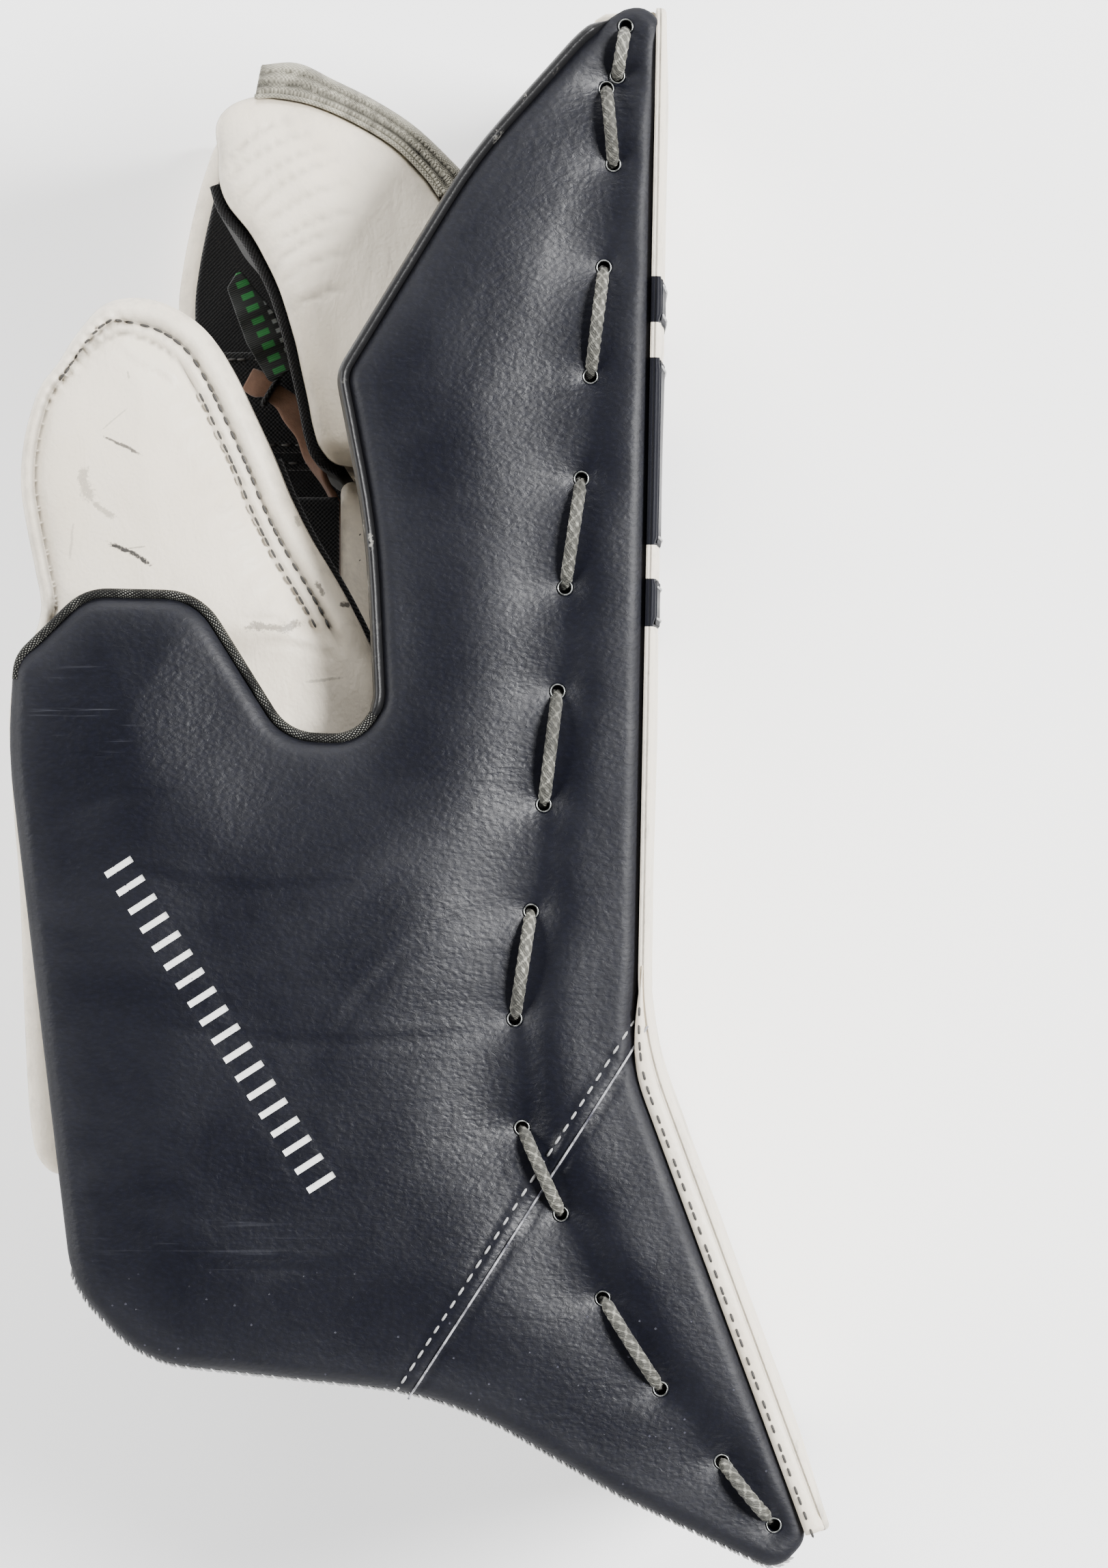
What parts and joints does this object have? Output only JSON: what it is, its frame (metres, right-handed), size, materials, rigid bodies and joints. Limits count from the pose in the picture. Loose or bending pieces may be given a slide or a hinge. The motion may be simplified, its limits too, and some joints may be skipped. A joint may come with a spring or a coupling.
{
  "type": "goalie blocker",
  "caption": "Ice hockey goalie blocker: bent padded board with a laced side panel and a cuffed, strapped hand pocket behind it, stored lying on its little-finger side.",
  "frame": {"origin": "centre of the bounding box, at the surface that the blocker lies on", "axes": "+X out of the striking face of the board, +Y along the board towards the cuff, +Z from the little-finger side up to the thumb side"},
  "size_m": [0.2009, 0.382, 0.2072],
  "materials": {
    "white_leather": "smooth white synthetic leather, scuffed",
    "navy_leather": "pebbled dark navy synthetic leather",
    "black_leather": "black edge leather, worn",
    "palm_leather": "napped palm leather",
    "suede": "tan suede",
    "foam": "closed-cell foam",
    "stiffener_plastic": "polyethylene sheet",
    "lace_cord": "braided cord",
    "eyelet_metal": "rolled rings",
    "mesh_binding": "woven mesh tape, soiled",
    "black_lining": "black knitted lining",
    "black_webbing": "black woven tape",
    "label_cloth": "woven label with green and white marks",
    "hook_pile": "hook and pile"
  },
  "bodies": {
    "blocker_shell": {"board_face_skin": "white_leather", "board_front_foam": "foam", "board_back_foam": "foam", "board_back_skin": "navy_leather", "board_stiffener": "stiffener_plastic", "board_edge_skin": "navy_leather", "face_stripe_upper": "navy_leather", "face_band": "navy_leather", "face_stripe_lower": "navy_leather", "side_edge_wrap": "black_leather", "side_inner_skin": "navy_leather", "side_stiffener": "stiffener_plastic", "side_foam": "foam", "side_main_panel": "navy_leather", "side_finger_panel": "navy_leather", "lace_eyelets": "eyelet_metal", "toe_edge_roll": "white_leather", "lacing_flange": "white_leather", "side_lace": "lace_cord", "lace_knots": "lace_cord", "thumb_guard": "white_leather", "thumb_guard_tie": "black_webbing", "pinky_guard_outer": "white_leather", "pinky_guard_inner": "navy_leather", "wrist_pad": "white_leather", "wrist_pad_binding": "mesh_binding", "wrist_liner": "black_lining", "woven_label": "label_cloth", "suede_thong": "suede", "thong_cord": "black_webbing", "hand_spacer_foam": "foam", "hand_back_pad": "white_leather", "palm": "palm_leather", "pocket_wall_pinky": "white_leather", "pocket_wall_thumb": "white_leather", "finger_web": "black_lining", "strap_base": "black_webbing", "strap_pile_patch": "hook_pile", "strap_catch": "black_webbing", "strap_catch_band": "black_webbing"},
    "thumb_cuff": {"thumb_cuff_pad": "white_leather", "thumb_cuff_roll": "white_leather"},
    "pinky_cuff": {"pinky_cuff_pad": "white_leather", "pinky_cuff_liner": "black_lining"},
    "strap_arm": {"wrist_strap": "black_webbing", "strap_hook_patch": "hook_pile"},
    "index_finger": {"finger_index": "white_leather"},
    "middle_finger": {"finger_middle": "white_leather"},
    "ring_finger": {"finger_ring": "white_leather"},
    "little_finger": {"finger_pinky": "white_leather"},
    "thumb": {"thumb_stall": "palm_leather"}
  },
  "joints": [
    {"name": "thumb_cuff_flex", "type": "hinge", "parent": "blocker_shell", "child": "thumb_cuff", "pos_m": [-0.055, 0.048, 0.171], "axis": [1, 0, 0], "range_deg": [-5, 26]},
    {"name": "pinky_cuff_flex", "type": "hinge", "parent": "blocker_shell", "child": "pinky_cuff", "pos_m": [-0.035, 0.062, 0.013], "axis": [-1, 0, 0], "range_deg": [-5, 22]},
    {"name": "wrist_strap_open", "type": "hinge", "parent": "blocker_shell", "child": "strap_arm", "pos_m": [-0.0875, 0.098, 0.0424], "axis": [0, -1, 0], "range_deg": [0, 100]},
    {"name": "index_knuckle", "type": "hinge", "parent": "blocker_shell", "child": "index_finger", "pos_m": [-0.041, -0.016, 0.139], "axis": [0, 0, -1], "range_deg": [-18, 18]},
    {"name": "middle_knuckle", "type": "hinge", "parent": "blocker_shell", "child": "middle_finger", "pos_m": [-0.041, -0.016, 0.1146], "axis": [0, 0, -1], "range_deg": [-18, 18]},
    {"name": "ring_knuckle", "type": "hinge", "parent": "blocker_shell", "child": "ring_finger", "pos_m": [-0.041, -0.016, 0.0902], "axis": [0, 0, -1], "range_deg": [-18, 18]},
    {"name": "little_knuckle", "type": "hinge", "parent": "blocker_shell", "child": "little_finger", "pos_m": [-0.041, -0.016, 0.0658], "axis": [0, 0, -1], "range_deg": [-18, 18]},
    {"name": "thumb_flex", "type": "hinge", "parent": "blocker_shell", "child": "thumb", "pos_m": [-0.0782, 0.058, 0.136], "axis": [0, 0, -1], "range_deg": [0, 25]}
  ]
}
